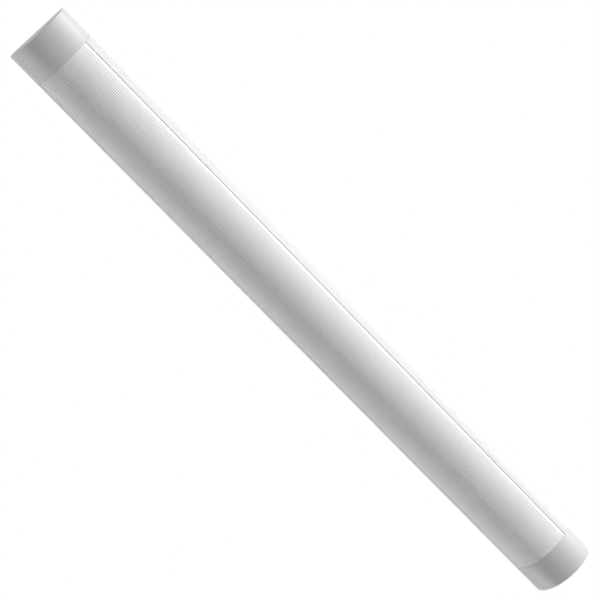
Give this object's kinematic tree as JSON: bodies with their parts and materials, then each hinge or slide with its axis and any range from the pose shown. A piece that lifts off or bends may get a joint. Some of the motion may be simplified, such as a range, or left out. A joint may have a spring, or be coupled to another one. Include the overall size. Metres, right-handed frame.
{
  "type": "led light tube",
  "caption": "Slim white linear LED batten with a half-round ribbed opal diffuser, flat back and long plain end caps.",
  "frame": {"origin": "centre of the flat back face", "axes": "+X across the width, +Y along the length towards the end cap with the cable inlet, +Z out of the back towards the diffuser's crown"},
  "size_m": [0.053, 0.606, 0.0223],
  "materials": {
    "white_paint": "satin white powder coat",
    "white_plastic": "smooth moulded white plastic",
    "opal_plastic": "ribbed opal white plastic",
    "bare_steel": "zinc-plated steel",
    "bare_aluminium": "plain aluminium",
    "white_board": "white solder mask",
    "green_board": "green solder mask",
    "black_plastic": "fine matte",
    "black_rubber": "soft matte",
    "grey_plastic": "fine matte",
    "orange_plastic": "smooth moulded",
    "copper": "tinned or plain copper",
    "blue_disc": "dipped epoxy coat",
    "glass_tube": "clear tube",
    "can_sleeve": "shrink sleeve",
    "transformer_tape": "polyester tape",
    "brown_insulation": "smooth insulation",
    "blue_insulation": "smooth insulation",
    "earth_insulation": "smooth insulation",
    "red_insulation": "smooth insulation",
    "black_insulation": "smooth insulation"
  },
  "bodies": {
    "housing": {"base_housing": "white_paint", "board_connector": "white_plastic", "board_link": "white_plastic", "board_screw_1": "bare_steel", "board_screw_2": "bare_steel", "board_screw_3": "bare_steel", "board_screw_4": "bare_steel", "driver_board": "green_board", "driver_case": "black_plastic", "driver_choke": "grey_plastic", "driver_controller": "black_plastic", "driver_cover": "black_plastic", "driver_fuse": "glass_tube", "driver_input_capacitor": "can_sleeve", "driver_output_capacitor": "can_sleeve", "driver_output_diode": "black_plastic", "driver_rectifier": "black_plastic", "driver_screw_1": "bare_steel", "driver_screw_2": "bare_steel", "driver_switch": "black_plastic", "driver_transformer": "transformer_tape", "driver_varistor": "blue_disc", "earth_lug": "copper", "earth_screw": "bare_steel", "earth_wire": "earth_insulation", "gear_tray": "white_paint", "led_board_1": "white_board", "led_board_2": "white_board", "led_negative_wire": "black_insulation", "led_positive_wire": "red_insulation", "live_wire": "brown_insulation", "neutral_wire": "blue_insulation", "plate_screw": "bare_steel", "terminal_block": "grey_plastic", "terminal_contact_1": "copper", "terminal_contact_2": "copper", "terminal_contact_3": "copper", "terminal_pivot": "bare_steel", "terminal_plate": "bare_steel", "terminal_screw_1": "bare_steel", "terminal_screw_2": "bare_steel", "tray_rivet_1": "bare_aluminium", "tray_rivet_2": "bare_aluminium", "tray_rivet_3": "bare_aluminium", "tray_rivet_4": "bare_aluminium"},
    "diffuser": {"diffuser": "opal_plastic"},
    "left_cap": {"end_cap_left": "white_plastic"},
    "right_cap": {"end_cap_right": "white_plastic", "cable_grommet": "black_rubber"},
    "lever_1": {"terminal_lever_1": "orange_plastic"},
    "lever_2": {"terminal_lever_2": "orange_plastic"},
    "lever_3": {"terminal_lever_3": "orange_plastic"}
  },
  "joints": [
    {"name": "left_cap_pull", "type": "slide", "parent": "housing", "child": "left_cap", "axis": [0, -1, 0], "range_m": [0, 0.1]},
    {"name": "diffuser_slide", "type": "slide", "parent": "housing", "child": "diffuser", "axis": [0, -1, 0], "range_m": [0, 0.05]},
    {"name": "right_cap_pull", "type": "slide", "parent": "housing", "child": "right_cap", "axis": [0, 1, 0], "range_m": [0, 0.06]},
    {"name": "lever_1_open", "type": "hinge", "parent": "housing", "child": "lever_1", "pos_m": [-0.0062, 0.283, 0.0094], "axis": [1, 0, 0], "range_deg": [0, 85]},
    {"name": "lever_2_open", "type": "hinge", "parent": "housing", "child": "lever_2", "pos_m": [0, 0.283, 0.0094], "axis": [1, 0, 0], "range_deg": [0, 85]},
    {"name": "lever_3_open", "type": "hinge", "parent": "housing", "child": "lever_3", "pos_m": [0.0062, 0.283, 0.0094], "axis": [1, 0, 0], "range_deg": [0, 85]}
  ],
  "couplings": [
    {"joint": "diffuser_slide", "follows": "left_cap_pull", "ratio": 0.5}
  ]
}
